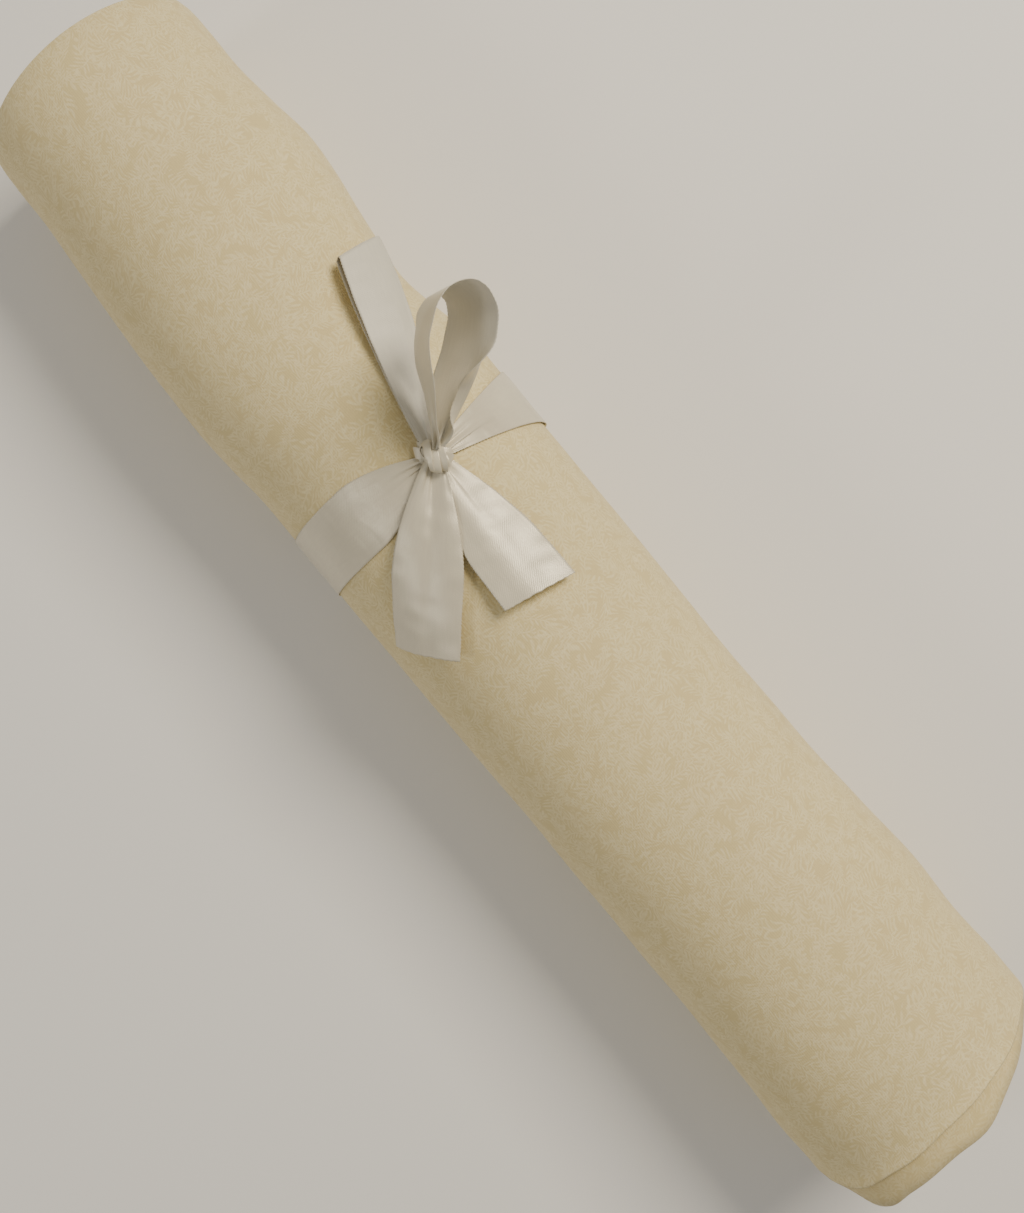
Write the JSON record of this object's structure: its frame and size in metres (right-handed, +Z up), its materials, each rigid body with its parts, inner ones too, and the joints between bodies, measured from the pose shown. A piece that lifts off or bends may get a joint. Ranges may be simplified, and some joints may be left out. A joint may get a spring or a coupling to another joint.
{
  "type": "fabric bolt",
  "caption": "Soft roll of doubled printed cotton cloth, tied round with a satin ribbon bow that slides along it and whose loops and tails lift.",
  "frame": {"origin": "on the surface the roll lies on, under the middle of its length and width", "axes": "+X along the roll from the fold end to the selvage end, +Z up, +Y to the side that the tall loop leans over"},
  "size_m": [0.56, 0.1189, 0.1711],
  "materials": {
    "cotton_print": "matt printed quilting cotton, tonal cream sprigs",
    "cotton_under": "matt plain-woven cotton, unprinted side",
    "satin_face": "polyester satin, glossy face",
    "satin_back": "polyester satin, duller back"
  },
  "bodies": {
    "roll": {"cloth_outer_ply": "cotton_print", "cloth_under_ply": "cotton_under", "cloth_inner_turns": "cotton_under"},
    "tie": {"ribbon_band": "satin_face", "ribbon_half_knot": "satin_face", "ribbon_knot_wrap": "satin_face"},
    "flat_loop": {"ribbon_flat_loop": "satin_back"},
    "tall_loop": {"ribbon_tall_loop": "satin_back"},
    "lower_tail": {"ribbon_lower_tail": "satin_face"},
    "upper_tail": {"ribbon_upper_tail": "satin_face"}
  },
  "joints": [
    {"name": "tie_slide", "type": "slide", "parent": "roll", "child": "tie", "axis": [1, 0, 0], "range_m": [-0.02, 0.13]},
    {"name": "flat_loop_lift", "type": "hinge", "parent": "tie", "child": "flat_loop", "pos_m": [-0.06615, 0.01221, 0.11059], "axis": [0.3939, 0.8981, -0.1955], "range_deg": [0, 12]},
    {"name": "tall_loop_lean", "type": "hinge", "parent": "tie", "child": "tall_loop", "pos_m": [-0.06302, 0.01351, 0.11848], "axis": [0.7986, 0.6018, 0], "range_deg": [0, 40]},
    {"name": "lower_tail_lift", "type": "hinge", "parent": "tie", "child": "lower_tail", "pos_m": [-0.05577, 0.00792, 0.11135], "axis": [-0.3584, -0.9247, 0.1288], "range_deg": [0, 40]},
    {"name": "upper_tail_lift", "type": "hinge", "parent": "lower_tail", "child": "upper_tail", "pos_m": [-0.05682, 0.00622, 0.11221], "axis": [-0.6652, -0.7423, 0.08], "range_deg": [0, 45]}
  ]
}
